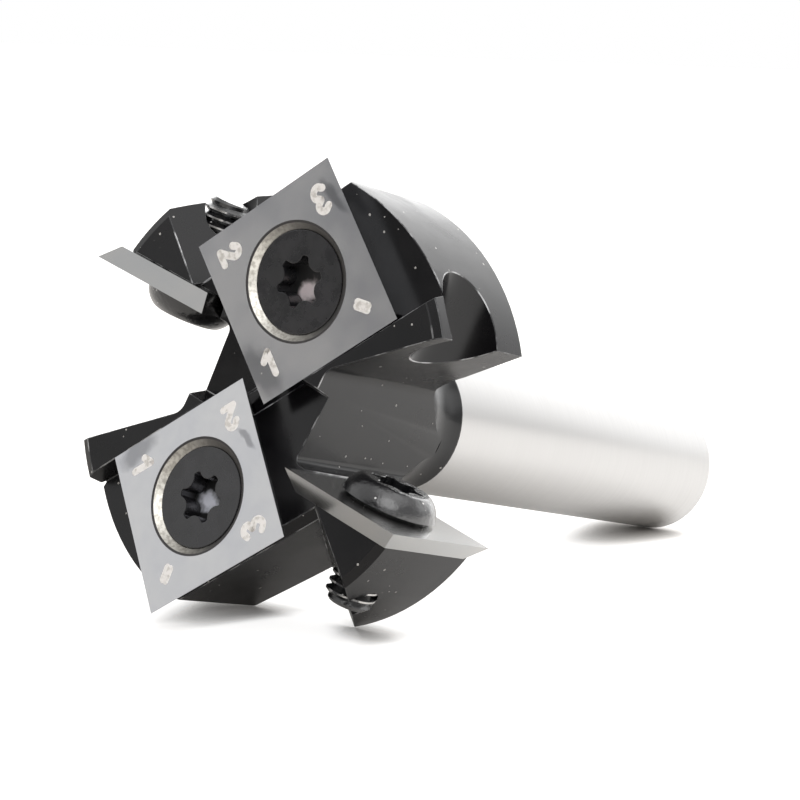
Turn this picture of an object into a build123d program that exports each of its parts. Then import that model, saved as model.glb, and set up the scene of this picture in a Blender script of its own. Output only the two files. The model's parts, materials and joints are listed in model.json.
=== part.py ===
from build123d import *
import os
from math import acos, atan, cos, degrees, radians, sin, tan

# A two-winged cutter that skims a flat bottom. Two square carbide knives lie on its wings and cut
# the floor of the pass, and two more stand on its arms and cut the wall. The second wing, arm,
# knife and screw of each kind are the first ones turned half round the tool's axis.
#
# Everything is modelled in the tool's own axes: +Z runs along the axis to the cutting end, the
# origin is level with the middle of the bottom knives, and +X points at the middle of the first
# one. laid_down() at the end turns the finished pieces to the way the tool lies on a table.
# Lengths are millimetres, angles are degrees.

# Turned blank
HEAD_DIA = 36.0
FRONT_Z = -0.8
FRONT_CHAMFER_WIDE = 0.7
FRONT_CHAMFER_DEEP = 0.3
BACK_Z = -12.0
BACK_DROP = 1.5
NECK_RADIUS = 5.8
NECK_DIA = 11.42
SHANK_DIA = 12.0
SHANK_CHAMFER = 0.4
SHANK_END_Z = -64.3

# Bottom knives, 14 x 14 x 2 with ground flanks
BOTTOM_KNIFE = 14.0
BOTTOM_KNIFE_THICK = 2.0
BOTTOM_FLANK = 30.0
BOTTOM_KNIFE_OUT = 9.33
BOTTOM_EDGE_AZIMUTH = -36.2
BOTTOM_EDGE_RISE = 1.15
BOTTOM_CLEARANCE = 6.4
COUNTERSINK_DIA = 9.35
BOTTOM_HOLE_DIA = 5.0

# Side knives, 12 x 12 x 1.5 with ground flanks
SIDE_KNIFE = 12.0
SIDE_KNIFE_THICK = 1.5
SIDE_FLANK = 35.0
SIDE_KNIFE_MIDDLE = (-3.01, -13.13, -5.34)
SIDE_FACE_TURN = 2.6
SIDE_EDGE_LEAN = 2.5
SIDE_HOLE_DIA = 4.3
SIDE_SEAT_DEEP = 2.5

# Wings
WING_WALL_OUT = 1.48
WING_WALL_LEAN = 15.5
WING_EDGE_OUT = 5.06
WING_FLANK_OUT = 5.85
WING_FLANK_RELIEF = 23.6
WING_TRAILING_AZIMUTH = -50.95
SHOULDER_END_X = 2.95
SHOULDER_END_LEAN = 15.6

# Gullets and arms
ARM_LEDGE_X = -3.2
CORE_FLAT_Y = -5.67
GULLET_END_Z = -19.3
GULLET_CORNER = 0.6
GULLET_ROOT = 1.5
ARM_BACK_AZIMUTH = 144.9
ARM_BACK_LEAN = 34.2
ARM_BACK_OUT = 2.044

# Driver grooves, which let the wrench reach the side screws
GROOVE_DIA = 6.45
GROOVE_SHIFT = (0.28, 0.08)
GROOVE_START = 4.0

# Bottom screws, countersunk
BOTTOM_HEAD_SUNK = 0.464
BOTTOM_THREAD_DIA = 5.0
BOTTOM_THREAD_CORE = 4.2
BOTTOM_THREAD_PITCH = 0.8
BOTTOM_THREAD_GAP = 0.1
BOTTOM_SCREW_TIP = 8.6
BOTTOM_HOLE_BLIND = 7.6
DRILL_POINT = 59.0

# Side screws, pan head
SIDE_HEAD_DIA = 7.7
SIDE_HEAD_SEAT_DIA = 6.8
SIDE_HEAD_LIP = 0.35
SIDE_HEAD_TOP_DIA = 5.5
SIDE_HEAD_HIGH = 2.0
SIDE_HEAD_SIDE_RADIUS = 2.2
SIDE_THREAD_DIA = 4.0
SIDE_THREAD_CORE = 3.2
SIDE_THREAD_PITCH = 0.7
SIDE_SCREW_TIP = 8.2

# Where a thread's crest starts and ends, as shares of its pitch
CREST_START = 0.4
CREST_END = 0.6

# Six-lobe sockets
SOCKET_TIPS = 4.2
SOCKET_FLATS = 3.0
SOCKET_FLUTE = 0.9
SOCKET_EDGE = 0.18
SOCKET_LOBES = 6
BOTTOM_SOCKET_DEEP = 1.7
BOTTOM_SOCKET_TURNS = (15.0, -7.0)
SIDE_SOCKET_DEEP = 1.5

# Working clearances and the size of the blocks used as cutters
CLEAR = 0.01
THREAD_CLEAR = 0.03
FAR = 90.0

HEAD_R = HEAD_DIA / 2
SHANK_R = SHANK_DIA / 2
HALF_TURN = Location((0, 0, 0), (0, 0, 180))


def level(azimuth, length=1.0):
    """A level vector that points along an azimuth, counted from +X towards +Y."""
    return Vector(length * cos(radians(azimuth)), length * sin(radians(azimuth)), 0)


def leaning(azimuth, rise):
    """A unit vector along an azimuth that rises by an angle out of the level."""
    return level(azimuth, cos(radians(rise))) + Vector(0, 0, sin(radians(rise)))


def beyond(point, direction):
    """The half of space on the side of a plane that the direction points to."""
    block = Box(2 * FAR, 2 * FAR, FAR, align=(Align.CENTER, Align.CENTER, Align.MIN))
    return Plane(origin=point, z_dir=direction) * block


def both_sides(cut):
    """A cut together with its twin on the other half of the tool."""
    return [cut, HALF_TURN * cut]


# Planes of the first knife of each kind: the local origin is the middle of the top face.

def bottom_knife_plane():
    edge = level(BOTTOM_EDGE_AZIMUTH) + Vector(0, 0, tan(radians(BOTTOM_EDGE_RISE)))
    across = level(BOTTOM_EDGE_AZIMUTH + 90) + Vector(0, 0, tan(radians(BOTTOM_CLEARANCE)))
    return Plane(origin=(BOTTOM_KNIFE_OUT, 0, 0), x_dir=edge, z_dir=edge.cross(across))


def side_knife_plane():
    outward = level(SIDE_FACE_TURN - 90) + Vector(0, 0, tan(radians(SIDE_EDGE_LEAN)))
    return Plane(origin=SIDE_KNIFE_MIDDLE, x_dir=outward, z_dir=level(SIDE_FACE_TURN))


BOTTOM_PLANE = bottom_knife_plane()
BOTTOM_SEAT = BOTTOM_PLANE.offset(-BOTTOM_KNIFE_THICK - CLEAR)
SIDE_PLANE = side_knife_plane()


# Body

def turned_blank():
    """Head, neck and shank as they come off the lathe, with the neck turned below the shank."""
    arc_middle_r = NECK_DIA / 2 + NECK_RADIUS
    arc_middle_z = BACK_Z - BACK_DROP - NECK_RADIUS
    past_neck = degrees(acos((arc_middle_r - SHANK_R) / NECK_RADIUS))
    shank_start_z = arc_middle_z - NECK_RADIUS * sin(radians(past_neck))
    with BuildSketch(Plane.XZ) as section:
        with BuildLine():
            Polyline(
                (0, SHANK_END_Z),
                (0, FRONT_Z),
                (HEAD_R - FRONT_CHAMFER_WIDE, FRONT_Z),
                (HEAD_R, FRONT_Z - FRONT_CHAMFER_DEEP),
                (HEAD_R, BACK_Z),
                (arc_middle_r, BACK_Z - BACK_DROP),
            )
            CenterArc((arc_middle_r, arc_middle_z), NECK_RADIUS, 90, 90 + past_neck)
            Polyline(
                (SHANK_R, shank_start_z),
                (SHANK_R, SHANK_END_Z + SHANK_CHAMFER),
                (SHANK_R - SHANK_CHAMFER, SHANK_END_Z),
                (0, SHANK_END_Z),
            )
        make_face()
    return revolve(section.sketch, Axis.Z)


def bottom_seat_cut():
    """The slot that the first bottom knife lies in: its seat, its wall and the shoulders' ends."""
    across = level(BOTTOM_EDGE_AZIMUTH + 90)
    wall_top = across * -WING_WALL_OUT + Vector(0, 0, FRONT_Z)
    end_top = Vector(-SHOULDER_END_X, 0, FRONT_Z)
    slot = beyond(BOTTOM_SEAT.origin, BOTTOM_SEAT.z_dir)
    slot &= beyond(wall_top, leaning(BOTTOM_EDGE_AZIMUTH + 90, WING_WALL_LEAN))
    slot &= beyond(BOTTOM_SEAT.from_local_coords((0, WING_EDGE_OUT, 0)), -across)
    return slot & beyond(end_top, leaning(0, SHOULDER_END_LEAN))


def leading_gullet_cut():
    """The gap ahead of the first wing, down to the leaning back of the arm before it."""
    across = level(BOTTOM_EDGE_AZIMUTH + 90)
    middle = Vector(BOTTOM_KNIFE_OUT, 0, 0)
    edge_point = BOTTOM_SEAT.from_local_coords((0, WING_EDGE_OUT, 0))
    flank = beyond(middle + across * WING_FLANK_OUT, across)
    lean = radians(WING_FLANK_RELIEF)
    relief = beyond(edge_point, BOTTOM_SEAT.y_dir * cos(lean) + BOTTOM_SEAT.z_dir * sin(lean))
    back_normal = leaning(ARM_BACK_AZIMUTH + 180, ARM_BACK_LEAN)
    behind_arm = beyond(back_normal * -ARM_BACK_OUT, back_normal)
    return (flank + relief) & behind_arm


def trailing_gullet_cut():
    """The gap in front of the first side knife, between its arm and the first wing."""
    root_x = CORE_FLAT_Y / tan(radians(WING_TRAILING_AZIMUTH))
    far = level(WING_TRAILING_AZIMUTH, FAR / 2)
    corners = [(ARM_LEDGE_X, CORE_FLAT_Y), (root_x, CORE_FLAT_Y), (far.X, far.Y), (ARM_LEDGE_X, far.Y)]
    outline = make_face(Polyline(*corners, close=True))
    ledge_corner = outline.vertices().sort_by_distance(corners[0])[0]
    outline = fillet(ledge_corner, GULLET_CORNER)
    root_corner = outline.vertices().sort_by_distance(corners[1])[0]
    outline = fillet(root_corner, GULLET_ROOT)
    return Pos(0, 0, GULLET_END_Z) * extrude(outline, FAR)


def side_seat_cut():
    """The rebate that the first side knife sits in, open at the front, the back and outside."""
    seat = Box(FAR, FAR, SIDE_SEAT_DEEP, align=(Align.MIN, Align.CENTER, Align.MIN))
    return SIDE_PLANE * Pos(-SIDE_KNIFE / 2 - CLEAR, 0, -SIDE_KNIFE_THICK - CLEAR) * seat


def driver_groove_cut():
    """A round groove across the first wing's trailing corner, in line with the side screw."""
    bar = Cylinder(GROOVE_DIA / 2, FAR, align=(Align.CENTER, Align.CENTER, Align.MIN))
    return SIDE_PLANE * Pos(*GROOVE_SHIFT, GROOVE_START) * bar


def bottom_tapped_hole():
    """The blind hole of the first bottom screw, with the drill's cone at its end."""
    radius = BOTTOM_THREAD_DIA / 2 + THREAD_CLEAR
    depth = BOTTOM_KNIFE_THICK + BOTTOM_HOLE_BLIND
    point = radius / tan(radians(DRILL_POINT))
    with BuildSketch(Plane.XZ) as section:
        with BuildLine():
            Polyline((0, 0), (radius, 0), (radius, -depth), (0, -depth - point), (0, 0))
        make_face()
    return BOTTOM_PLANE * revolve(section.sketch, Axis.Z)


def side_tapped_hole():
    """The hole of the first side screw, right through the arm."""
    return SIDE_PLANE * Cylinder(
        SIDE_THREAD_DIA / 2 + THREAD_CLEAR, FAR, align=(Align.CENTER, Align.CENTER, Align.MAX)
    )


def cutter_body():
    """Head and shank in one piece, with every cut made on both halves."""
    cuts = [
        bottom_seat_cut(),
        leading_gullet_cut(),
        trailing_gullet_cut(),
        side_seat_cut(),
        driver_groove_cut(),
        bottom_tapped_hole(),
        side_tapped_hole(),
    ]
    body = turned_blank()
    for cut in cuts:
        body -= both_sides(cut)
    return body.solid()


# Knives, in their own plane

def ground_square(size, thickness, flank):
    """A square plate whose four sides slope in towards its underside."""
    return extrude(Plane.XY.rotated((180, 0, 0)) * Rectangle(size, size), thickness, taper=flank)


def bottom_knife():
    """The knife on the first wing, with its countersunk hole."""
    sink = Cone(BOTTOM_HOLE_DIA / 2, COUNTERSINK_DIA / 2, BOTTOM_KNIFE_THICK)
    plate = ground_square(BOTTOM_KNIFE, BOTTOM_KNIFE_THICK, BOTTOM_FLANK)
    return BOTTOM_PLANE * (plate - Pos(0, 0, -BOTTOM_KNIFE_THICK / 2) * sink)


def side_knife():
    """The knife on the first arm, with its plain hole."""
    plate = ground_square(SIDE_KNIFE, SIDE_KNIFE_THICK, SIDE_FLANK)
    return SIDE_PLANE * (plate - Cylinder(SIDE_HOLE_DIA / 2, 3 * SIDE_KNIFE_THICK))


# Screws, in the plane of their knife

def socket(top, deep, turn=0.0):
    """A six-lobe socket that goes down from the height of a screw's top."""
    star = Circle(SOCKET_TIPS / 2)
    flute_out = SOCKET_FLATS / 2 + SOCKET_FLUTE
    for lobe in range(SOCKET_LOBES):
        star -= Pos(*level(turn + 360 / SOCKET_LOBES * lobe, flute_out)) * Circle(SOCKET_FLUTE)
    star = fillet(star.vertices(), SOCKET_EDGE)
    return Pos(0, 0, top - deep) * extrude(star, 2 * deep)


def thread_points(diameter, core, pitch, start, tip):
    """Crests and roots of a thread's outline, drawn as rings, from its start down to its tip."""
    turns = int((start - tip) / pitch)
    points = [(core / 2, start)]
    for turn in range(turns):
        below = start - turn * pitch
        points.append((diameter / 2, below - CREST_START * pitch))
        points.append((diameter / 2, below - CREST_END * pitch))
        points.append((core / 2, below - pitch))
    points.append((core / 2, tip))
    return points


def turned(points, arc=None):
    """A solid turned about the screw's axis from outline points and, at its side, one arc."""
    with BuildSketch(Plane.XZ) as section:
        with BuildLine():
            Polyline(*points)
            if arc:
                RadiusArc(*arc)
        make_face()
    return revolve(section.sketch, Axis.Z)


def bottom_screw(turn):
    """The countersunk screw on the first wing, screwed in until its socket stands at an angle."""
    slope = (COUNTERSINK_DIA - BOTTOM_HOLE_DIA) / 2 / BOTTOM_KNIFE_THICK
    top = -BOTTOM_HEAD_SUNK
    top_r = COUNTERSINK_DIA / 2 - slope * BOTTOM_HEAD_SUNK - THREAD_CLEAR
    core_r = BOTTOM_THREAD_CORE / 2
    cone_end = top - (top_r - core_r) / slope
    start = cone_end - BOTTOM_THREAD_GAP
    thread = thread_points(
        BOTTOM_THREAD_DIA, BOTTOM_THREAD_CORE, BOTTOM_THREAD_PITCH, start, -BOTTOM_SCREW_TIP
    )
    blank = turned([(0, -BOTTOM_SCREW_TIP), (0, top), (top_r, top), (core_r, cone_end)] + thread
                   + [(0, -BOTTOM_SCREW_TIP)])
    return BOTTOM_PLANE * (blank - socket(top, BOTTOM_SOCKET_DEEP, turn))


def side_screw():
    """The pan head screw on the first arm."""
    seat_r = SIDE_HEAD_SEAT_DIA / 2
    rim = (SIDE_HEAD_DIA / 2, SIDE_HEAD_LIP)
    crown = (SIDE_HEAD_TOP_DIA / 2, SIDE_HEAD_HIGH)
    thread = thread_points(
        SIDE_THREAD_DIA, SIDE_THREAD_CORE, SIDE_THREAD_PITCH, -SIDE_KNIFE_THICK, -SIDE_SCREW_TIP
    )
    outline = [crown, (0, SIDE_HEAD_HIGH), (0, -SIDE_SCREW_TIP)] + thread[::-1]
    outline += [(SIDE_THREAD_CORE / 2, CLEAR), (seat_r, CLEAR), rim]
    blank = turned(outline, arc=(rim, crown, -SIDE_HEAD_SIDE_RADIUS))
    return SIDE_PLANE * (blank - socket(SIDE_HEAD_HIGH, SIDE_SOCKET_DEEP))


# The way the tool lies: on a wing's corner, an arm's corner and the rim of the shank's end.

def wing_corner_azimuth():
    """Where the second wing's leading flank meets the back edge of the head."""
    across = BOTTOM_EDGE_AZIMUTH + 90
    reach = BOTTOM_KNIFE_OUT * cos(radians(across)) + WING_FLANK_OUT
    return across + degrees(acos(-reach / HEAD_R)) - 360


def arm_corner_azimuth():
    """Where the first arm's leaning back meets the back edge of the head."""
    level_part = HEAD_R * cos(radians(ARM_BACK_LEAN))
    upright_part = BACK_Z * sin(radians(ARM_BACK_LEAN))
    turn = degrees(acos((-ARM_BACK_OUT - upright_part) / level_part))
    return ARM_BACK_AZIMUTH + turn - 360


def laid_down():
    """The move from the tool's own axes to the table, with the table at height zero."""
    first = wing_corner_azimuth()
    second = arm_corner_azimuth()
    down = (first + second) / 2
    reach = HEAD_R * cos(radians((second - first) / 2))
    rim_z = SHANK_END_Z + SHANK_CHAMFER
    tilt = atan((reach - SHANK_R) / (BACK_Z - rim_z))
    lift = reach * cos(tilt) - BACK_Z * sin(tilt)
    turn = Location((0, 0, 0), (0, 0, -down))
    tip_over = Location((0, 0, lift), (0, 90 - degrees(tilt), 0))
    return tip_over * turn


def pieces():
    """Every separate piece of the tool, by name."""
    named = {"cutter_body": cutter_body()}
    halves = zip((1, 2), (Location(), HALF_TURN), BOTTOM_SOCKET_TURNS)
    for number, half, socket_turn in halves:
        named[f"bottom_knife_{number}"] = (half * bottom_knife()).solid()
        named[f"side_knife_{number}"] = (half * side_knife()).solid()
        named[f"bottom_knife_screw_{number}"] = (half * bottom_screw(socket_turn)).solid()
        named[f"side_knife_screw_{number}"] = (half * side_screw()).solid()
    return named


def main():
    lying = {name: laid_down() * piece for name, piece in pieces().items()}
    box = Compound(list(lying.values())).bounding_box()
    centred = Location((-box.center().X, -box.center().Y, 0))
    os.makedirs("parts", exist_ok=True)
    for name, piece in lying.items():
        export_step(centred * piece, f"parts/{name}.step")


main()
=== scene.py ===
import json
import math

import bmesh
import bpy
from bpy.props import FloatProperty, FloatVectorProperty, PointerProperty
from mathutils import Matrix, Vector


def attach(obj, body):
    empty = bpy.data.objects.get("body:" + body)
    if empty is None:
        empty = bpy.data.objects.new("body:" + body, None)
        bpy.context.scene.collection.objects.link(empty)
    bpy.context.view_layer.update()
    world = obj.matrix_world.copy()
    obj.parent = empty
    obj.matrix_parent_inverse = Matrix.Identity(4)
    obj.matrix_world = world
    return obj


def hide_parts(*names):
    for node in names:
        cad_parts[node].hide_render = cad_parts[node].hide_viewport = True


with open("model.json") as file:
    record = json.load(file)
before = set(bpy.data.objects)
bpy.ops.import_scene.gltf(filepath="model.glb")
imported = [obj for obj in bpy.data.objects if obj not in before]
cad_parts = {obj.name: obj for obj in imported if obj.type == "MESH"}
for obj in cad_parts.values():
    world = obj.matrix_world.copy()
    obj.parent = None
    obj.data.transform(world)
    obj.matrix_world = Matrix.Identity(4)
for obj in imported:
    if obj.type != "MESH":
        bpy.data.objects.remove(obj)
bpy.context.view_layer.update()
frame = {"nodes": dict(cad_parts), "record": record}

bl_info = {
    "name": "Bottom Cleaning Router Bit",
    "version": (1, 0, 0),
    "blender": (4, 5, 0),
    "location": "View3D > Sidebar > Router Bit",
    "description": "Builds a spoilboard router bit with square carbide knives and its studio",
    "category": "Object",
}

MM = 0.001
BODY = "root"
HALVES = (1, 2)
# The direction in degrees, about the tool's axis, in which the first knife of each kind points out.
LEAD_AZIMUTHS = {"bottom_knife": -36.2, "side_knife": -87.4}


# Places read from the frame

def shank_mount():
    """The mount that the collet grips: its middle, its axis away from the head, and its length."""
    shank = next(mount for mount in frame["record"]["mounts"] if mount["name"] == "shank")
    return Vector(shank["pos_m"]), Vector(shank["axis"]).normalized(), shank["dims"]["length_mm"] * MM


SHANK_MIDDLE, SHANK_AXIS, SHANK_LENGTH = shank_mount()
# Where the shank's ground finish ends, beside the neck.
FINISH_END = SHANK_MIDDLE - SHANK_AXIS * SHANK_LENGTH / 2


def widest_face(node):
    """A knife's top face from its CAD mesh: middle, normal, one diagonal, and the direction across it."""
    mesh = frame["nodes"][node].data
    areas = {}
    for face in mesh.polygons:
        key = tuple(round(value, 2) for value in face.normal)
        areas[key] = areas.get(key, 0) + face.area
    key = max(areas, key=areas.get)
    faces = [face for face in mesh.polygons if tuple(round(value, 2) for value in face.normal) == key]
    normal = faces[0].normal.copy()
    points = [mesh.vertices[index].co.copy() for face in faces for index in face.vertices]
    low = Vector(tuple(min(point[axis] for point in points) for axis in range(3)))
    high = Vector(tuple(max(point[axis] for point in points) for axis in range(3)))
    guess = (low + high) / 2
    first = max(points, key=lambda point: (point - guess).length)
    opposite = max(points, key=lambda point: (point - first).length)
    middle = (first + opposite) / 2
    diagonal = (first - middle).normalized()
    across = normal.cross(diagonal)
    return middle, normal, diagonal, across


def axes_matrix(x_axis, z_axis, middle):
    """A placing matrix from two axes at right angles and a middle."""
    matrix = Matrix((x_axis, z_axis.cross(x_axis), z_axis)).transposed().to_4x4()
    matrix.translation = middle
    return matrix


def tool_axes():
    """The tool's own axes: z towards the cutting end, x at the middle of the first bottom knife."""
    z_axis = -SHANK_AXIS
    middle = widest_face("bottom_knife_1")[0]
    origin = SHANK_MIDDLE + z_axis * (middle - SHANK_MIDDLE).dot(z_axis)
    return axes_matrix((middle - origin).normalized(), z_axis, origin)


TOOL = tool_axes()


def tool_direction(azimuth):
    """A direction square to the tool's axis, from its angle in degrees."""
    turn = math.radians(azimuth)
    return TOOL.to_3x3() @ Vector((math.cos(turn), math.sin(turn), 0))


def knife_frame(kind, half):
    """A knife's local axes: x along the edge that points outward, z out of the top face."""
    lead = tool_direction(LEAD_AZIMUTHS[kind] + 180 * (half - 1))
    middle, normal, diagonal, across = widest_face(f"{kind}_{half}")
    edges = [(diagonal + across).normalized(), (diagonal - across).normalized()]
    edges += [-edge for edge in edges]
    return axes_matrix(max(edges, key=lambda edge: edge.dot(lead)), normal, middle)


# Node helpers

def linear(hex_colour):
    """An sRGB hex colour as linear red, green, blue and alpha."""
    shown = [int(hex_colour[at:at + 2], 16) / 255 for at in (1, 3, 5)]
    return tuple(
        value / 12.92 if value <= 0.04045 else ((value + 0.055) / 1.055) ** 2.4 for value in shown) + (1.0,)


def add_node(tree, kind, settings=None, inputs=None):
    """Adds a node, sets its properties, and fills or links its inputs."""
    node = tree.nodes.new(kind)
    for name, value in (settings or {}).items():
        setattr(node, name, value)
    for name, value in (inputs or {}).items():
        if isinstance(value, bpy.types.NodeSocket):
            tree.links.new(value, node.inputs[name])
        else:
            node.inputs[name].default_value = value
    return node


def new_material(name):
    """An empty material with its shader, its tree and its Object coordinates."""
    old = bpy.data.materials.get(name)
    if old:
        bpy.data.materials.remove(old)
    made = bpy.data.materials.new(name)
    made.use_nodes = True
    tree = made.node_tree
    tree.nodes.clear()
    shader = add_node(tree, "ShaderNodeBsdfPrincipled")
    add_node(tree, "ShaderNodeOutputMaterial", inputs={"Surface": shader.outputs["BSDF"]})
    place = add_node(tree, "ShaderNodeTexCoord").outputs["Object"]
    return made, tree, shader, place


def per_metre(size_mm):
    """The texture scale at which one cell or wave is as long as a size in millimetres."""
    return 1 / (size_mm * MM)


def settle_faces(bm):
    """Sorts the faces by their corners, because spheres and bevels leave them in a chance order."""
    bm.verts.index_update()
    count = len(bm.verts)

    def corners(face):
        first, second, third = sorted(vert.index for vert in face.verts)[:3]
        return (first * count + second) * count + third

    bm.faces.sort(key=corners)


def new_piece(name, bm, materials, replaced):
    """Links a finished mesh as a piece that rides on the body and stands for its CAD node."""
    settle_faces(bm)
    mesh = bpy.data.meshes.new(name)
    bm.to_mesh(mesh)
    bm.free()
    for made in materials:
        mesh.materials.append(made)
    old = bpy.data.objects.get(name)
    if old:
        bpy.data.objects.remove(old)
    piece = bpy.data.objects.new(name, mesh)
    bpy.context.scene.collection.objects.link(piece)
    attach(piece, BODY)
    for node in replaced:
        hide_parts(node)
    return piece


# A CAD mesh's corners merge within this distance, and its facets within this angle are one face.
MERGE_DISTANCE = 0.002 * MM
FLAT_ANGLE = math.radians(0.2)
# Smooth shading runs over edges up to these angles: on round faces, and on the knives' and the
# markings' plain ones.
ROUND_ANGLE = math.radians(14)
PLAIN_ANGLE = math.radians(30)


def merged_copy(node):
    """A bmesh copy of a CAD node with its loose triangles merged and its flat faces made whole."""
    bm = bmesh.new()
    bm.from_mesh(frame["nodes"][node].data)
    bmesh.ops.remove_doubles(bm, verts=bm.verts, dist=MERGE_DISTANCE)
    bmesh.ops.dissolve_limit(bm, angle_limit=FLAT_ANGLE, verts=bm.verts, edges=bm.edges)
    for face in bm.faces:
        face.material_index = 0
        face.smooth = True
    return bm


def sharp_edges(bm, angle):
    """Edges where two faces meet at more than an angle."""
    return [edge for edge in bm.edges if len(edge.link_faces) == 2 and edge.calc_face_angle() > angle]


def crease(bm, angle):
    """Marks edges over an angle or between two materials as sharp, so that smooth shading stops at them."""
    for edge in bm.edges:
        one_finish = len({face.material_index for face in edge.link_faces}) == 1
        edge.smooth = one_finish and len(edge.link_faces) == 2 and edge.calc_face_angle() <= angle


def break_edges(bm, edges, width, segments, material):
    """Rounds edges with a narrow bevel, as tumbling or wear does."""
    bmesh.ops.bevel(
        bm, geom=edges, offset=width, offset_type="OFFSET", affect="EDGES",
        segments=segments, profile=0.5, material=material, clamp_overlap=False, loop_slide=True,
    )


def close_cuts(bm):
    """Fills the open ends that a cut or a curve has left with flat faces, and turns all faces outwards."""
    bmesh.ops.edgeloop_fill(bm, edges=[edge for edge in bm.edges if edge.is_boundary])
    bmesh.ops.recalc_face_normals(bm, faces=bm.faces)


# Materials

def soft_step(tree, value, low, high, out_low=0.0, out_high=1.0):
    """Maps a value smoothly from one range to another and holds it at both ends."""
    return add_node(tree, "ShaderNodeMapRange", {"interpolation_type": "SMOOTHSTEP"}, {
        "Value": value, "From Min": low, "From Max": high,
        "To Min": out_low, "To Max": out_high}).outputs["Result"]


def noise(tree, place, size_mm, detail=3.0, roughness=0.55):
    """A noise value whose lumps are about as wide as a size in millimetres."""
    return add_node(tree, "ShaderNodeTexNoise", inputs={
        "Vector": place, "Scale": per_metre(size_mm), "Detail": detail,
        "Roughness": roughness}).outputs["Fac"]


def blend(tree, share, first, second):
    """Mixes two colours or colour sockets by a share.

    A Mix node's sockets for numbers, vectors and colours have the same names, so they go by number.
    """
    return add_node(tree, "ShaderNodeMix", {"data_type": "RGBA"}, {
        "Factor": share, 6: first, 7: second}).outputs[2]


def calculate(tree, operation, first, second):
    """One arithmetic step between two values or sockets."""
    return add_node(tree, "ShaderNodeMath", {"operation": operation}, {0: first, 1: second}).outputs[0]


def dust(tree, place, spacing_mm, radius_mm, share):
    """Scattered specks: a share of the cells of a spacing hold one speck of up to a radius."""
    cells = add_node(tree, "ShaderNodeTexVoronoi", inputs={"Vector": place, "Scale": per_metre(spacing_mm)})
    pick = add_node(tree, "ShaderNodeSeparateColor", inputs={"Color": cells.outputs["Color"]})
    reach = calculate(tree, "MULTIPLY", pick.outputs["Green"], radius_mm / spacing_mm)
    inside = calculate(tree, "LESS_THAN", cells.outputs["Distance"], reach)
    some = calculate(tree, "LESS_THAN", pick.outputs["Red"], share)
    return calculate(tree, "MULTIPLY", inside, some)


def place_on_face(x_mm, y_mm, turn):
    """Where something lies on a knife's face: moved from the face's middle, then turned in place."""
    moved = Matrix.Translation((x_mm * MM, y_mm * MM, 0))
    return moved @ Matrix.Rotation(math.radians(turn), 4, "Z")


def oval(tree, place, matrix, x_mm, y_mm, turn, half_long_mm, half_wide_mm, soft):
    """Share of a soft oval patch on a knife's face."""
    there = matrix @ place_on_face(x_mm, y_mm, turn)
    local = add_node(tree, "ShaderNodeMapping", {"vector_type": "TEXTURE"}, {
        "Vector": place, "Location": there.translation, "Rotation": there.to_euler(),
        "Scale": (half_long_mm * MM, half_wide_mm * MM, 1.0)})
    far = add_node(tree, "ShaderNodeVectorMath", {"operation": "LENGTH"}, {0: local.outputs["Vector"]})
    return soft_step(tree, far.outputs["Value"], 1.0 - soft, 1.0, 1.0, 0.0)


def ruffled(tree, place, size_mm, reach_mm):
    """The coordinates moved about by noise, so that a patch's outline is uneven."""
    ruffle = add_node(tree, "ShaderNodeTexNoise", inputs={"Vector": place, "Scale": per_metre(size_mm)})
    centred = add_node(tree, "ShaderNodeVectorMath", {"operation": "SUBTRACT"}, {
        0: ruffle.outputs["Color"], 1: (0.5, 0.5, 0.5)})
    return add_node(tree, "ShaderNodeVectorMath", {"operation": "MULTIPLY_ADD"}, {
        0: centred.outputs["Vector"], 1: (reach_mm * MM,) * 3, 2: place}).outputs["Vector"]


def bump(tree, shader, height, strength, depth_mm):
    """Connects a height as a fine relief of the surface and of its clear coat, if it has one."""
    relief = add_node(tree, "ShaderNodeBump", inputs={
        "Height": height, "Strength": strength, "Distance": depth_mm * MM})
    tree.links.new(relief.outputs["Normal"], shader.inputs["Normal"])
    tree.links.new(relief.outputs["Normal"], shader.inputs["Coat Normal"])


def black_oxide():
    """Black oxide on milled steel: a dark satin skin with a glassy sheen at low angles, and dust."""
    made, tree, shader, place = new_material("black_oxide_milled_steel")
    shader.inputs["Specular IOR Level"].default_value = 0.4
    patches = noise(tree, place, 4.0, detail=4.0, roughness=0.6)
    tree.links.new(soft_step(tree, patches, 0.3, 0.7, 0.18, 0.28), shader.inputs["Roughness"])
    clouds = soft_step(tree, noise(tree, place, 6.0), 0.35, 0.65)
    tint = blend(tree, clouds, linear("#08080a"), linear("#0f0e10"))
    specks = dust(tree, place, spacing_mm=0.8, radius_mm=0.12, share=0.4)
    colour = blend(tree, specks, tint, linear("#b5b2ae"))
    tree.links.new(colour, shader.inputs["Base Color"])
    bump(tree, shader, noise(tree, place, 0.15), strength=0.2, depth_mm=0.003)
    return made


def worn_edge():
    """Edges where handling has worn the black oxide thin, so that steel shines through."""
    made, tree, shader, place = new_material("worn_black_oxide_edge")
    share = soft_step(tree, noise(tree, place, 2.2, detail=4.0, roughness=0.6), 0.45, 0.62, 0.05, 0.95)
    tree.links.new(share, shader.inputs["Metallic"])
    tree.links.new(blend(tree, share, linear("#19191c"), linear("#b9b9ba")), shader.inputs["Base Color"])
    shader.inputs["Roughness"].default_value = 0.32
    return made


# How many times longer the grinding rings' noise is across the shank than along it.
RING_STRETCH = 50.0


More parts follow.
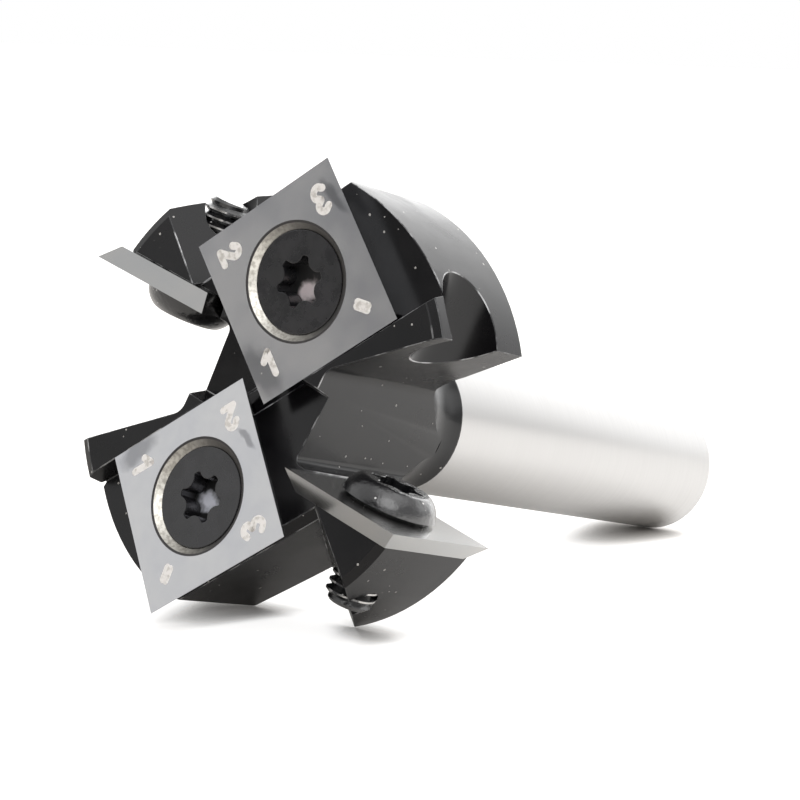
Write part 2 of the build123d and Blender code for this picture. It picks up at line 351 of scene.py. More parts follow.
def ground_steel():
    """Bright ground steel of the shank: fine rings from the grinding wheel blur what it mirrors."""
    made, tree, shader, place = new_material("ground_steel_shank")
    shader.inputs["Metallic"].default_value = 1.0
    shader.inputs["Base Color"].default_value = linear("#bbbab9")
    turn = TOOL.to_euler()
    along = add_node(tree, "ShaderNodeMapping", {"vector_type": "TEXTURE"}, {
        "Vector": place, "Rotation": turn, "Scale": (RING_STRETCH, RING_STRETCH, 1.0)})
    lines = noise(tree, along.outputs["Vector"], 0.15, detail=4.0, roughness=0.7)
    tree.links.new(soft_step(tree, lines, 0.3, 0.7, 0.28, 0.4), shader.inputs["Roughness"])
    bump(tree, shader, lines, strength=0.1, depth_mm=0.003)
    return made


# Grey smears of handling on each bottom knife's face: x, y, turn, half length, half width.
SMEARS = {
    1: ((6.2, 4.2, 105, 2.4, 0.7), (-6.2, -4.6, 20, 1.9, 3.2)),
    2: ((-5.9, -2.2, -60, 1.6, 0.45), (4.6, -6.3, 10, 2.6, 1.2)),
}
SMEAR_STRENGTH = 0.55
# The share of a patch's size over which it fades out at its rim.
PATCH_SOFTNESS = 0.6
# The direction in degrees, on each bottom knife's face, towards which its countersink is lit; the painted
# shade lies on the far side.
COUNTERSINK_LIT_SIDES = {1: 165, 2: -15}
# Along that direction, from the hole's middle, the painted shade fades out over this stretch, unevenly.
COUNTERSINK_SHADE_SPAN = (-2.5 * MM, 3.5 * MM)
COUNTERSINK_SHADE_UNEVEN = 2 * MM


def ground_carbide(name, matrix, smears, colours):
    """Ground tungsten carbide: a grey satin metal with faint clouds and smears from handling, and dust."""
    made, tree, shader, place = new_material(name)
    shader.inputs["Metallic"].default_value = 1.0
    clouds = noise(tree, place, 5.0, detail=2.0, roughness=0.5)
    broad = soft_step(tree, clouds, 0.3, 0.7, 0.0, 0.75)
    fine = soft_step(tree, noise(tree, place, 0.9, detail=2.0), 0.25, 0.75, 0.0, 0.25)
    share = calculate(tree, "ADD", broad, fine)
    colour = blend(tree, share, *(tuple(each) + (1.0,) for each in colours))
    moved = ruffled(tree, place, size_mm=1.5, reach_mm=1.2)
    for x_mm, y_mm, turn, half_long, half_wide in smears:
        patch = oval(tree, moved, matrix, x_mm, y_mm, turn, half_long, half_wide, PATCH_SOFTNESS)
        patch = calculate(tree, "MULTIPLY", patch, SMEAR_STRENGTH)
        colour = blend(tree, patch, colour, linear("#6f7074"))
    specks = dust(tree, place, spacing_mm=1.1, radius_mm=0.1, share=0.12)
    colour = blend(tree, specks, colour, linear("#e2e0dc"))
    tree.links.new(colour, shader.inputs["Base Color"])
    tree.links.new(soft_step(tree, clouds, 0.3, 0.7, 0.22, 0.26), shader.inputs["Roughness"])
    return made


def sintered_carbide(name, matrix, countersink_lit_side, settings):
    """The countersink as it left the sintering furnace: paler than the ground faces, with painted shade on
    the side away from the light.
    """
    made, tree, shader, place = new_material(name)
    shader.inputs["Metallic"].default_value = 1.0
    shader.inputs["Roughness"].default_value = 0.4
    turn = math.radians(countersink_lit_side)
    lit_way = matrix.to_3x3() @ Vector((math.cos(turn), math.sin(turn), 0))
    along = add_node(tree, "ShaderNodeVectorMath", {"operation": "DOT_PRODUCT"}, {0: place, 1: lit_way})
    uneven = calculate(tree, "MULTIPLY", noise(tree, place, 1.2, detail=3.0), COUNTERSINK_SHADE_UNEVEN)
    along = calculate(tree, "ADD", along.outputs["Value"], uneven)
    middle = matrix.translation.dot(lit_way) + COUNTERSINK_SHADE_UNEVEN / 2
    share = soft_step(tree, along, middle + COUNTERSINK_SHADE_SPAN[0], middle + COUNTERSINK_SHADE_SPAN[1])
    skin = soft_step(tree, noise(tree, place, 0.35, detail=2.0), 0.3, 0.65)
    pale = blend(tree, skin, settings.countersink_pit[:] + (1.0,), settings.countersink[:] + (1.0,))
    # Painted shade: dark grey on the side away from the light, the pale sintered skin on the lit side.
    tree.links.new(blend(tree, share, linear("#6d6b69"), pale), shader.inputs["Base Color"])
    return made


def dark_lip():
    """The lip of the countersink: painted shade, a dark grey line for the shade along its edge."""
    made, _, shader, _ = new_material("shaded_countersink_lip")
    shader.inputs["Base Color"].default_value = linear("#4a4848")
    shader.inputs["Metallic"].default_value = 0.6
    shader.inputs["Roughness"].default_value = 0.45
    return made


def screw_oxide():
    """Oiled black oxide on a heat-treated screw: darker and smoother than the milled body."""
    made, tree, shader, place = new_material("oiled_black_oxide_screw")
    shader.inputs["IOR"].default_value = 1.65
    clouds = soft_step(tree, noise(tree, place, 2.5), 0.35, 0.65)
    tint = blend(tree, clouds, linear("#1b1b1d"), linear("#232225"))
    specks = dust(tree, place, spacing_mm=0.9, radius_mm=0.09, share=0.15)
    tree.links.new(blend(tree, specks, tint, linear("#9b9894")), shader.inputs["Base Color"])
    patches = noise(tree, place, 1.2)
    tree.links.new(soft_step(tree, patches, 0.3, 0.7, 0.2, 0.34), shader.inputs["Roughness"])
    bump(tree, shader, noise(tree, place, 0.5, detail=4.0), strength=0.25, depth_mm=0.01)
    return made


def glossy_screw_oxide():
    """The same oxide under a thicker film of oil, wavy enough to break up what it mirrors; its dense pale
    specks are partly dust and partly painted glints.
    """
    made, tree, shader, place = new_material("oil_wet_black_oxide_screw")
    shader.inputs["IOR"].default_value = 1.65
    # Dust and painted glints: the dense pale specks stand in partly for the glints on the oily head.
    specks = dust(tree, place, spacing_mm=0.55, radius_mm=0.1, share=0.35)
    tree.links.new(blend(tree, specks, linear("#121214"), linear("#d9d8d6")), shader.inputs["Base Color"])
    shader.inputs["Coat Weight"].default_value = 1.0
    shader.inputs["Coat Roughness"].default_value = 0.06
    shader.inputs["Coat IOR"].default_value = 1.47
    shader.inputs["Roughness"].default_value = 0.25
    waves = noise(tree, place, 0.7, detail=4.0, roughness=0.65)
    bump(tree, shader, waves, strength=0.8, depth_mm=0.09)
    return made


def crest_wear_and_highlight():
    """A thread's crests, partly worn through the oxide to bright steel and partly painted highlight: their
    pale colour stands in for the light that the crests catch.
    """
    made, tree, shader, place = new_material("thread_crest_wear_and_highlight")
    share = soft_step(tree, noise(tree, place, 0.8, detail=2.0), 0.35, 0.55)
    # Painted highlight in part: the crests are paler than the oxide around them.
    tree.links.new(blend(tree, share, linear("#3c3c3e"), linear("#d6d4d2")), shader.inputs["Base Color"])
    tree.links.new(share, shader.inputs["Metallic"])
    shader.inputs["Roughness"].default_value = 0.3
    return made


# Where each bottom screw's socket bottom has its painted highlight: x, y, turn, half length, half width;
# and its tint, the colour of the light that it stands in for.
SOCKET_HIGHLIGHTS = {
    1: ((-0.45, -0.4, -10, 1.4, 1.05), "#fbeef0"),
    2: ((0.6, -0.25, -40, 1.35, 1.0), "#eef0fb"),
}
# The painted highlight is so rough that it scatters nearly all light, as a matt skin does.
SOCKET_HIGHLIGHT_METALLIC = 0.1


def socket_with_painted_highlight(name, matrix, highlight_spot):
    """A socket's dark bottom with a painted highlight: a pale patch in one place stands in for the light
    that the bottom mirrors.
    """
    made, tree, shader, place = new_material(name)
    (x_mm, y_mm, turn, half_long, half_wide), tint = highlight_spot
    moved = ruffled(tree, place, size_mm=0.8, reach_mm=1.0)
    share = oval(tree, moved, matrix, x_mm, y_mm, turn, half_long, half_wide, PATCH_SOFTNESS)
    # Painted highlight: the pale patch on the dark oxide of the socket's bottom.
    tree.links.new(blend(tree, share, linear("#1a1a1b"), linear(tint)), shader.inputs["Base Color"])
    tree.links.new(calculate(tree, "MULTIPLY", share, SOCKET_HIGHLIGHT_METALLIC), shader.inputs["Metallic"])
    shader.inputs["Roughness"].default_value = 0.4
    return made


def laser_white(settings):
    """Laser marking: the carbide's surface is frosted to a white that scatters light."""
    made, tree, shader, place = new_material("laser_marking")
    shader.inputs["Roughness"].default_value = 0.8
    share = soft_step(tree, noise(tree, place, 0.5, detail=3.0), 0.32, 0.55)
    colour = blend(tree, share, settings.mark_thin[:] + (1.0,), settings.mark[:] + (1.0,))
    tree.links.new(colour, shader.inputs["Base Color"])
    return made


# Pieces

def colour_setting(name, description, hex_colour):
    """A colour that the user can change, with its default given as sRGB hex."""
    return FloatVectorProperty(
        name=name, description=description, size=3, subtype="COLOR", min=0.0, max=1.0,
        default=linear(hex_colour)[:3])


# The body's edges over the steep angle are worn, apart from those in the neck, between two heights
# along the axis, where they fade into its curve. At the front those over the shallow angle are too.
SHALLOW_EDGE = math.radians(20)
STEEP_EDGE = math.radians(24)
NECK_SPAN = (-26 * MM, -13.6 * MM)
# The arms' front rims, where the oxide has stayed: their angles about the axis, counted from the
# first bottom knife and the same half a turn on, their smallest radius and their lowest height.
ARM_SPAN = (math.radians(50), math.radians(90))
ARM_RIM = (16.9 * MM, -1.6 * MM)


def on_arm_rim(points):
    """Whether an edge, given by its ends in the tool's axes, lies on the front rim of an arm."""
    angles = [math.atan2(point.y, point.x) % math.pi for point in points]
    return (all(ARM_SPAN[0] < angle < ARM_SPAN[1] for angle in angles)
            and all(point.to_2d().length > ARM_RIM[0] and point.z > ARM_RIM[1] for point in points))


class RouterBitBody(bpy.types.PropertyGroup):
    edge_width: FloatProperty(
        name="Edge width", description="Width of the broken edges", default=0.07 * MM,
        unit="LENGTH", subtype="DISTANCE")
    front_reach: FloatProperty(
        name="Front reach", description="Height along the axis above which shallow edges are worn too",
        default=-1.0 * MM, unit="LENGTH", subtype="DISTANCE")


class ROUTERBIT_OT_body(bpy.types.Operator):
    """Builds the milled head with its ground shank"""
    bl_idname = "router_bit.body"
    bl_label = "Cutter body"

    def execute(self, context):
        settings = context.scene.router_bit_body
        bm = merged_copy("cutter_body")
        geometry = bm.verts[:] + bm.edges[:] + bm.faces[:]
        bmesh.ops.bisect_plane(
            bm, geom=geometry, dist=MERGE_DISTANCE, plane_co=FINISH_END, plane_no=SHANK_AXIS)
        local = TOOL.inverted()
        worn = []
        for edge in sharp_edges(bm, SHALLOW_EDGE):
            points = [local @ vert.co for vert in edge.verts]
            heights = [point.z for point in points]
            at_front = min(heights) > settings.front_reach
            in_neck = NECK_SPAN[0] < min(heights) and max(heights) < NECK_SPAN[1]
            steep = edge.calc_face_angle() > STEEP_EDGE and not in_neck
            if (at_front or steep) and not on_arm_rim(points):
                worn.append(edge)
        break_edges(bm, worn, settings.edge_width, segments=2, material=1)
        for face in bm.faces:
            if (face.calc_center_median() - FINISH_END).dot(SHANK_AXIS) > 0:
                face.material_index = 2
        crease(bm, ROUND_ANGLE)
        new_piece(
            "cutter_body_finished", bm, [black_oxide(), worn_edge(), ground_steel()],
            ["cutter_body"])
        return {"FINISHED"}


class RouterBitKnives(bpy.types.PropertyGroup):
    carbide: colour_setting("Carbide", "Colour of the bottom knives", "#cdced2")
    carbide_cloud: colour_setting("Carbide clouds", "Colour of their paler clouds", "#dadadb")
    side_carbide: colour_setting("Side carbide", "Colour of the side knives", "#bbbcbc")
    side_cloud: colour_setting("Side carbide clouds", "Colour of their paler clouds", "#c2c1bf")
    countersink: colour_setting("Countersink", "Colour of the sintered countersink", "#d8d5cd")
    countersink_pit: colour_setting("Countersink pits", "Colour of its darker pits", "#aba79f")
    countersink_reach: FloatProperty(
        name="Countersink reach", description="Radius around the hole that holds the countersink",
        default=4.86 * MM, unit="LENGTH", subtype="DISTANCE")
    lip_width: FloatProperty(
        name="Lip width", description="Width of the countersink's dark lip", default=0.11 * MM,
        unit="LENGTH", subtype="DISTANCE")


# Points less than this below a knife's face count as lying in it.
FACE_DEPTH = 0.02 * MM


class ROUTERBIT_OT_bottom_knives(bpy.types.Operator):
    """Builds the two countersunk carbide knives that cut the floor"""
    bl_idname = "router_bit.bottom_knives"
    bl_label = "Bottom knives"

    def execute(self, context):
        settings = context.scene.router_bit_knives
        lip = dark_lip()
        for half in HALVES:
            node = f"bottom_knife_{half}"
            matrix = knife_frame("bottom_knife", half)
            sintered = sintered_carbide(f"sintered_carbide_{half}", matrix, COUNTERSINK_LIT_SIDES[half], settings)
            colours = (settings.carbide, settings.carbide_cloud)
            carbide = ground_carbide(f"ground_carbide_{half}", matrix, SMEARS[half], colours)
            bm = merged_copy(node)
            local = matrix.inverted()
            for face in bm.faces:
                middle = local @ face.calc_center_median()
                if middle.z < -FACE_DEPTH and middle.to_2d().length < settings.countersink_reach:
                    face.material_index = 1
            # The countersink's rim is bevelled with the painted shade of its lip.
            rim = [edge for edge in bm.edges if {face.material_index for face in edge.link_faces} == {0, 1}
                   and max((local @ vert.co).z for vert in edge.verts) > -FACE_DEPTH]
            break_edges(bm, rim, settings.lip_width, segments=2, material=2)
            crease(bm, ROUND_ANGLE)
            new_piece(node + "_ground", bm, [carbide, sintered, lip], [node])
        return {"FINISHED"}


class ROUTERBIT_OT_side_knives(bpy.types.Operator):
    """Builds the two carbide knives that cut the wall"""
    bl_idname = "router_bit.side_knives"
    bl_label = "Side knives"

    def execute(self, context):
        settings = context.scene.router_bit_knives
        colours = (settings.side_carbide, settings.side_cloud)
        carbide = ground_carbide("ground_carbide_side", TOOL, (), colours)
        for half in HALVES:
            node = f"side_knife_{half}"
            bm = merged_copy(node)
            crease(bm, PLAIN_ANGLE)
            new_piece(node + "_ground", bm, [carbide], [node])
        return {"FINISHED"}


class RouterBitScrews(bpy.types.PropertyGroup):
    rim_width: FloatProperty(
        name="Rim width", description="Width of the rounding on a head's rim", default=0.14 * MM,
        unit="LENGTH", subtype="DISTANCE")
    socket_edge: FloatProperty(
        name="Socket edge", description="Width of the rounding on a socket's edge", default=0.05 * MM,
        unit="LENGTH", subtype="DISTANCE")
    socket_reach: FloatProperty(
        name="Socket reach", description="Radius that holds the six-lobe socket", default=2.2 * MM,
        unit="LENGTH", subtype="DISTANCE")


# Each kind of screw in millimetres. Heights are counted from the knife's top face: a head ends a
# little below the start of its thread, so that the two overlap.
BOTTOM_THREAD = {"core": 4.2, "diameter": 5.0, "pitch": 0.8, "start": -2.3, "tip": -8.55}
BOTTOM_HEAD_END = -2.36
SIDE_THREAD = {"core": 3.2, "diameter": 4.0, "pitch": 0.7, "start": -0.5, "tip": -8.2}
SIDE_HEAD_END = -0.6
# Shares of the pitch at which a thread's crest starts and ends.
CREST_SPAN = (0.4, 0.6)
THREAD_STEPS = 48
# The thread is spun from this many pitches above its start to as many below its tip, and cut there.
SPARE_TURNS = 2
CUT_DISTANCE = 0.0001 * MM
# How far above the tip, in millimetres, its chamfer is as wide as the thread's core.
TIP_CHAMFER_START = 0.15
# The share of a thread's radius beyond which a face belongs to its crest.
CREST_REACH = 0.97
# How far below a screw's top the edges of its rim and of its socket may lie, and how far the
# socket's bottom lies at least.
RIM_DROP = 0.05 * MM
SOCKET_DROP = 0.01 * MM
BOTTOM_DROP = 1.1 * MM
# A face looks up out of the socket if its normal is at least this close to the axis.
UPWARD_COSINE = 0.5
RIM_ANGLE = math.radians(30)
SOCKET_ANGLE = math.radians(60)
# A face whose normal is this close to the axis is flat and isn't shaded smooth.
FLAT_COSINE = 0.9999


def threaded_shaft(core, diameter, pitch, start, tip):
    """A right-hand thread: one pitch of its outline spun down the axis and cut level at both ends."""
    bm = bmesh.new()
    above = start + SPARE_TURNS * pitch
    turns = math.ceil((above - tip) / pitch) + SPARE_TURNS
    outline = ((core, 0.0), (diameter, -CREST_SPAN[0]), (diameter, -CREST_SPAN[1]), (core, -1.0))
    corners = [bm.verts.new((width / 2 * MM, 0, (above + share * pitch) * MM)) for width, share in outline]
    edges = [bm.edges.new(pair) for pair in zip(corners, corners[1:])]
    steps = turns * THREAD_STEPS
    bmesh.ops.spin(
        bm, geom=corners + edges, cent=(0, 0, 0), axis=(0, 0, -1), dvec=(0, 0, -pitch * MM / THREAD_STEPS),
        angle=turns * math.tau, steps=steps, use_merge=False)
    bmesh.ops.remove_doubles(bm, verts=bm.verts, dist=MERGE_DISTANCE)
    for vert in bm.verts:
        widest = core / 2 * MM + vert.co.z - (tip + TIP_CHAMFER_START) * MM
        radius = vert.co.to_2d().length
        if radius > widest > 0:
            vert.co.xy = vert.co.xy * (widest / radius)
    for height, side in ((start, 1), (tip, -1)):
        bmesh.ops.bisect_plane(
            bm, geom=bm.verts[:] + bm.edges[:] + bm.faces[:], dist=CUT_DISTANCE,
            plane_co=(0, 0, height * MM), plane_no=(0, 0, side), clear_outer=True)
    close_cuts(bm)
    return bm


def finished_screw(node, matrix, settings, head_end, thread):
    """The CAD screw's head with rounded rims, on a shaft with a true helical thread."""
    bm = merged_copy(node)
    local = matrix.inverted()
    under_head = matrix @ Vector((0, 0, head_end * MM))
    axis = matrix.to_3x3() @ Vector((0, 0, 1))
    bmesh.ops.bisect_plane(
        bm, geom=bm.verts[:] + bm.edges[:] + bm.faces[:], dist=MERGE_DISTANCE, plane_co=under_head,
        plane_no=-axis, clear_outer=True)
    close_cuts(bm)
    top = max((local @ vert.co).z for vert in bm.verts)
    for face in bm.faces:
        middle = local @ face.calc_center_median()
        if face.normal.dot(axis) > UPWARD_COSINE and middle.z < top - BOTTOM_DROP:
            face.material_index = 1
    rim = [edge for edge in sharp_edges(bm, RIM_ANGLE)
           if all((local @ vert.co).to_2d().length > settings.socket_reach for vert in edge.verts)
           and all((local @ vert.co).z > top - RIM_DROP for vert in edge.verts)]
    break_edges(bm, rim, settings.rim_width, segments=3, material=0)
    inner = [edge for edge in sharp_edges(bm, SOCKET_ANGLE)
             if all((local @ vert.co).to_2d().length < settings.socket_reach for vert in edge.verts)
             and all((local @ vert.co).z > top - SOCKET_DROP for vert in edge.verts)]
    break_edges(bm, inner, settings.socket_edge, segments=2, material=0)
    shaft = threaded_shaft(**thread)
    crest_radius = thread["diameter"] / 2 * MM * CREST_REACH
    for face in shaft.faces:
        crest = min(vert.co.to_2d().length for vert in face.verts) > crest_radius
        face.material_index = 2 if crest else 0
    bmesh.ops.transform(shaft, matrix=matrix, verts=shaft.verts)
    joined = bpy.data.meshes.new("shaft")
    shaft.to_mesh(joined)
    shaft.free()
    bm.from_mesh(joined)
    bpy.data.meshes.remove(joined)
    for face in bm.faces:
        face.smooth = abs(face.normal.dot(axis)) < FLAT_COSINE
    crease(bm, ROUND_ANGLE)
    return bm


class ROUTERBIT_OT_bottom_screws(bpy.types.Operator):
    """Builds the two countersunk screws"""
    bl_idname = "router_bit.bottom_screws"
    bl_label = "Bottom knife screws"

    def execute(self, context):
        settings = context.scene.router_bit_screws
        oxide = screw_oxide()
        for half in HALVES:
            node = f"bottom_knife_screw_{half}"
            matrix = knife_frame("bottom_knife", half)
            finishes = [oxide, socket_with_painted_highlight(f"socket_highlight_{half}", matrix, SOCKET_HIGHLIGHTS[half]), oxide]
            bm = finished_screw(node, matrix, settings, BOTTOM_HEAD_END, BOTTOM_THREAD)
            new_piece(node + "_blackened", bm, finishes, [node])
        return {"FINISHED"}


class ROUTERBIT_OT_side_screws(bpy.types.Operator):
    """Builds the two pan head screws"""
    bl_idname = "router_bit.side_screws"
    bl_label = "Side knife screws"

    def execute(self, context):
        settings = context.scene.router_bit_screws
        oxide, crest = glossy_screw_oxide(), crest_wear_and_highlight()
        for half in HALVES:
            node = f"side_knife_screw_{half}"
            matrix = knife_frame("side_knife", half)
            bm = finished_screw(node, matrix, settings, SIDE_HEAD_END, SIDE_THREAD)
            new_piece(node + "_blackened", bm, [oxide, oxide, crest], [node])
        return {"FINISHED"}


class RouterBitMarks(bpy.types.PropertyGroup):
    stroke_width: FloatProperty(
        name="Stroke width", description="Width of a digit's strokes", default=0.62 * MM,
        unit="LENGTH", subtype="DISTANCE")
    thickness: FloatProperty(
        name="Thickness", description="How far the marking stands out of the face", default=0.02 * MM,
        unit="LENGTH", subtype="DISTANCE")
    mark: colour_setting("Mark", "Colour of a dense marking", "#fbf7f3")
    mark_thin: colour_setting("Thin mark", "Colour where the marking is thin", "#d4cfc8")


# The edge numbers in millimetres, upright: strokes of points joined by smooth or straight lines.
DIGITS = {
    "1": ((False, ((0.15, 0.85), (0.15, -0.95))), (False, ((0.15, 0.85), (-0.5, 0.3)))),
    "2": ((True, ((-0.45, 0.45), (-0.05, 0.88), (0.42, 0.5), (0.1, -0.15), (-0.5, -0.85))),
          (False, ((-0.5, -0.9), (0.55, -0.9)))),
    "3": ((True, ((-0.45, 0.75), (0.05, 0.98), (0.45, 0.55), (0.0, 0.05))),
          (True, ((0.0, 0.05), (0.48, -0.4), (0.05, -0.98), (-0.5, -0.75)))),
    "0": ((False, ((-0.17, 0.5), (-0.17, -0.5))), (False, ((0.17, 0.5), (0.17, -0.5)))),
}
# Where they stand on a knife's face: digit, x, y and turn.
MARK_PLACES = (("1", -5.0, -4.4, 0), ("2", -4.5, 5.0, -90), ("3", 5.0, 4.45, 180), ("0", 4.65, -4.65, 45))
# By how many degrees each knife is turned in its seat, with another of its edges outward.
SEAT_TURNS = {1: 0, 2: 90}


def stroke_mesh(points, smooth, width):
    """One stroke as a mesh: a round bar along its points with a ball at each end."""
    curve = bpy.data.curves.new("stroke", "CURVE")
    curve.dimensions = "3D"
    curve.bevel_depth = width / 2
    curve.bevel_resolution = 3
    curve.resolution_u = 8
    spline = curve.splines.new("BEZIER")
    spline.bezier_points.add(len(points) - 1)
    for point, place in zip(spline.bezier_points, points):
        point.co = (place[0] * MM, place[1] * MM, 0)
        point.handle_left_type = point.handle_right_type = "AUTO" if smooth else "VECTOR"
    holder = bpy.data.objects.new("stroke", curve)
    bm = bmesh.new()
    bm.from_mesh(holder.to_mesh())
    holder.to_mesh_clear()
    bpy.data.objects.remove(holder)
    bpy.data.curves.remove(curve)
    close_cuts(bm)
    for place in (points[0], points[-1]):
        ball = Matrix.Translation((place[0] * MM, place[1] * MM, 0))
        bmesh.ops.create_uvsphere(bm, u_segments=16, v_segments=8, radius=width / 2, matrix=ball)
    return bm


class ROUTERBIT_OT_marks(bpy.types.Operator):
    """Marks the edge numbers on the bottom knives"""
    bl_idname = "router_bit.marks"
    bl_label = "Edge numbers"

    def execute(self, context):
        settings = context.scene.router_bit_marks
        white = laser_white(settings)
        flat = Matrix.Diagonal((1, 1, settings.thickness / settings.stroke_width, 1))
        for half in HALVES:
            knife = knife_frame("bottom_knife", half) @ place_on_face(0, 0, SEAT_TURNS[half])
            marks = bmesh.new()
            for digit, x_mm, y_mm, turn in MARK_PLACES:
                there = knife @ place_on_face(x_mm, y_mm, turn)
                for smooth, points in DIGITS[digit]:
                    bm = stroke_mesh(points, smooth, settings.stroke_width)
                    bmesh.ops.transform(bm, matrix=there @ flat, verts=bm.verts)
                    joined = bpy.data.meshes.new("stroke")
                    bm.to_mesh(joined)
                    bm.free()
                    marks.from_mesh(joined)
                    bpy.data.meshes.remove(joined)
            for face in marks.faces:
                face.smooth = True
            crease(marks, PLAIN_ANGLE)
            new_piece(f"bottom_knife_{half}_numbers", marks, [white], [])
        return {"FINISHED"}


# Stage

class RouterBitStage(bpy.types.PropertyGroup):
    camera_place: FloatVectorProperty(
        name="Camera place", description="Where the camera stands", size=3,
        default=(0.181354, 0.127326, 0.048365), unit="LENGTH", subtype="XYZ")
    camera_azimuth: FloatProperty(
        name="View azimuth", description="Compass direction that the camera looks along",
        default=math.radians(-143.473), unit="ROTATION", subtype="ANGLE")
    camera_pitch: FloatProperty(
        name="View pitch", description="Rise of the camera's line of sight",
        default=math.radians(-8.448), unit="ROTATION", subtype="ANGLE")
    camera_roll: FloatProperty(
        name="View roll", description="Lean of the camera about its line of sight",
        default=math.radians(1.98), unit="ROTATION", subtype="ANGLE")
    lens: FloatProperty(
        name="Lens", description="Focal length in millimetres on a 36 mm sensor", default=115.852)
    table: colour_setting("Table", "Colour of the white table", "#c0bcb7")
    table_glow: FloatProperty(
        name="Table glow", description="How far the open table outshines its own colour", default=0.85)
    lit_side: FloatProperty(
        name="Lit side", description="Compass direction of the table's brighter side",
        default=math.radians(110), unit="ROTATION", subtype="ANGLE")
    shadow_reach: FloatProperty(
        name="Shadow reach", description="How far from the tool the table's shadow stays soft and dark",
        default=3.0 * MM, unit="LENGTH", subtype="DISTANCE")


SENSOR_WIDTH_MM = 36
CLIP_START = 1 * MM
TABLE_RADIUS = 3.0
TABLE_SEGMENTS = 96
# In what mirrors the table, its glow rises over this stretch towards its lit side.
LIT_SPAN = (-5 * MM, 25 * MM)
LIT_GLOW = (0.12, 1.25)
# How open to the sky the table has to be for its glow to start, and to be full.
OPEN_SPAN = (0.35, 0.82)
# Soft light from every side, as in a light tent: direction, half width where it is full and where
# it ends, and how much brighter or darker than the tent it is there.
TENT_LEVEL = 0.9
TENT_ZONES = (
    ("dark room in front", 3, 14, 18, 34, -0.2),
    ("dark floor in front", -5, -5, 33, 37, -0.62),
    ("window in front", -62, 22, 14, 30, 0.15),
    ("key light in front", 46, 38, 14, 26, 2.6),
    ("backdrop lamp", -160, 14, 24, 52, 1.7),
    ("side panel", 138, 20, 8, 18, 1.2),
    ("overhead softbox", 92, 66, 18, 34, 1.2),
)


def direction(azimuth, elevation):
    """A unit vector from two angles in degrees."""
    turn, rise = math.radians(azimuth), math.radians(elevation)
    return Vector((math.cos(turn) * math.cos(rise), math.sin(turn) * math.cos(rise), math.sin(rise)))


def light_tent():
    """The world: white to the camera, and the tent's uneven light to everything else."""
    world = bpy.data.worlds.new("light_tent")
    world.use_nodes = True
    tree = world.node_tree
    tree.nodes.clear()
    place = add_node(tree, "ShaderNodeTexCoord").outputs["Generated"]
    level = TENT_LEVEL
    for name, azimuth, elevation, full, end, change in TENT_ZONES:
        facing = add_node(tree, "ShaderNodeVectorMath", {"operation": "DOT_PRODUCT"}, {
            0: place, 1: direction(azimuth, elevation)})
        share = add_node(tree, "ShaderNodeMapRange", {"interpolation_type": "SMOOTHSTEP", "label": name}, {
            "Value": facing.outputs["Value"], "From Min": math.cos(math.radians(end)),
            "From Max": math.cos(math.radians(full)), "To Min": 0.0, "To Max": change})
        level = add_node(tree, "ShaderNodeMath", {"operation": "ADD"}, {
            0: level, 1: share.outputs["Result"]}).outputs[0]
    tent = add_node(tree, "ShaderNodeBackground", inputs={"Strength": level})
    white = add_node(tree, "ShaderNodeBackground", inputs={"Strength": 1.0, "Color": (1, 1, 1, 1)})
    rays = add_node(tree, "ShaderNodeLightPath")
    seen = add_node(tree, "ShaderNodeMixShader", inputs={
        0: rays.outputs["Is Camera Ray"], 1: tent.outputs[0], 2: white.outputs[0]})
    add_node(tree, "ShaderNodeOutputWorld", inputs={"Surface": seen.outputs[0]})
    bpy.context.scene.world = world


def table_white(settings):
    """The white table: it glows to the camera away from the tool, so that it clips to white there."""
    made, tree, shader, place = new_material("white_table")
    shader.inputs["Base Color"].default_value = settings.table[:] + (1.0,)
    shader.inputs["Roughness"].default_value = 0.9
    shader.inputs["Emission Color"].default_value = linear("#ffffff")
    rays = add_node(tree, "ShaderNodeLightPath").outputs
    behind = add_node(tree, "ShaderNodeVectorMath", {"operation": "DOT_PRODUCT"}, {
        0: place, 1: direction(math.degrees(settings.lit_side), 0)}).outputs["Value"]
    mirrored = calculate(tree, "MAXIMUM", rays["Is Glossy Ray"], rays["Is Transmission Ray"])
    mirrored = calculate(tree, "MULTIPLY", mirrored, soft_step(tree, behind, *LIT_SPAN, *LIT_GLOW))
    seen = calculate(tree, "MAXIMUM", rays["Is Camera Ray"], mirrored)
    openness = add_node(tree, "ShaderNodeAmbientOcclusion", {"samples": 4}, {
        "Distance": settings.shadow_reach}).outputs["AO"]
    openness = soft_step(tree, openness, *OPEN_SPAN)
    glow = calculate(tree, "MULTIPLY", seen, openness)
    glow = calculate(tree, "MULTIPLY", glow, settings.table_glow)
    tree.links.new(glow, shader.inputs["Emission Strength"])
    return made


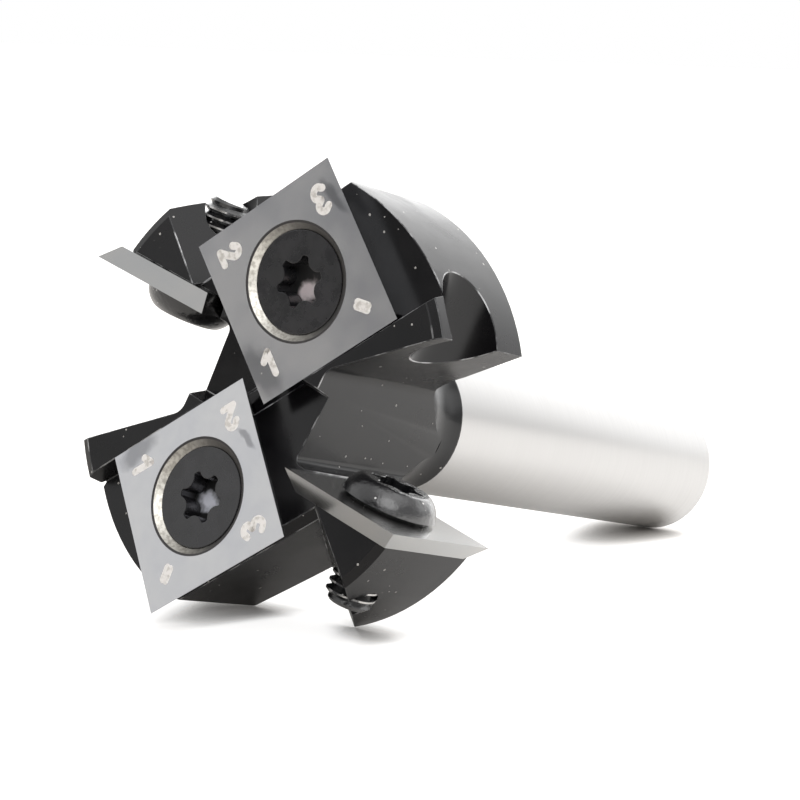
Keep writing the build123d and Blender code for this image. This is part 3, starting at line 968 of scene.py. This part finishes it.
class ROUTERBIT_OT_stage(bpy.types.Operator):
    """Builds the camera, the table and the light"""
    bl_idname = "router_bit.stage"
    bl_label = "Stage"

    def execute(self, context):
        settings = context.scene.router_bit_stage
        self.place_camera(settings)
        light_tent()
        self.lay_table(settings)
        context.scene.view_settings.view_transform = "Standard"
        return {"FINISHED"}

    def place_camera(self, settings):
        """The camera at the photograph's viewing angle, with depth of field off."""
        forward = direction(math.degrees(settings.camera_azimuth), math.degrees(settings.camera_pitch))
        level_right = forward.cross(Vector((0, 0, 1))).normalized()
        level_up = level_right.cross(forward)
        roll = settings.camera_roll
        right = level_right * math.cos(roll) + level_up * math.sin(roll)
        up = level_up * math.cos(roll) - level_right * math.sin(roll)
        matrix = Matrix((right, up, -forward)).transposed().to_4x4()
        matrix.translation = settings.camera_place
        data = bpy.data.cameras.new("camera")
        data.sensor_width = SENSOR_WIDTH_MM
        data.lens = settings.lens
        data.clip_start = CLIP_START
        data.dof.use_dof = False
        camera = bpy.data.objects.new("camera", data)
        camera.matrix_world = matrix
        bpy.context.scene.collection.objects.link(camera)
        bpy.context.scene.camera = camera

    def lay_table(self, settings):
        """A wide round table top at the height that the tool lies on."""
        bm = bmesh.new()
        bmesh.ops.create_circle(bm, cap_ends=True, segments=TABLE_SEGMENTS, radius=TABLE_RADIUS)
        mesh = bpy.data.meshes.new("table_top")
        bm.to_mesh(mesh)
        bm.free()
        mesh.materials.append(table_white(settings))
        table = bpy.data.objects.new("table_top", mesh)
        bpy.context.scene.collection.objects.link(table)


class ROUTERBIT_PT_panel(bpy.types.Panel):
    """Lists the steps that build the router bit"""
    bl_idname = "ROUTERBIT_PT_panel"
    bl_label = "Router Bit"
    bl_space_type = "VIEW_3D"
    bl_region_type = "UI"
    bl_category = "Router Bit"

    def draw(self, context):
        for operator in OPERATORS:
            self.layout.operator(operator.bl_idname)


OPERATORS = (
    ROUTERBIT_OT_stage, ROUTERBIT_OT_body, ROUTERBIT_OT_bottom_knives, ROUTERBIT_OT_side_knives,
    ROUTERBIT_OT_bottom_screws, ROUTERBIT_OT_side_screws, ROUTERBIT_OT_marks,
)
GROUPS = {
    "router_bit_body": RouterBitBody, "router_bit_knives": RouterBitKnives,
    "router_bit_screws": RouterBitScrews, "router_bit_marks": RouterBitMarks,
    "router_bit_stage": RouterBitStage,
}


def register():
    for made in (*GROUPS.values(), *OPERATORS, ROUTERBIT_PT_panel):
        bpy.utils.register_class(made)
    for name, group in GROUPS.items():
        setattr(bpy.types.Scene, name, PointerProperty(type=group))


def unregister():
    for name in GROUPS:
        delattr(bpy.types.Scene, name)
    for made in (ROUTERBIT_PT_panel, *OPERATORS, *GROUPS.values()):
        bpy.utils.unregister_class(made)


def main():
    register()
    bpy.ops.router_bit.stage()
    bpy.ops.router_bit.body()
    bpy.ops.router_bit.bottom_knives()
    bpy.ops.router_bit.side_knives()
    bpy.ops.router_bit.bottom_screws()
    bpy.ops.router_bit.side_screws()
    bpy.ops.router_bit.marks()


if __name__ == "__main__":
    main()
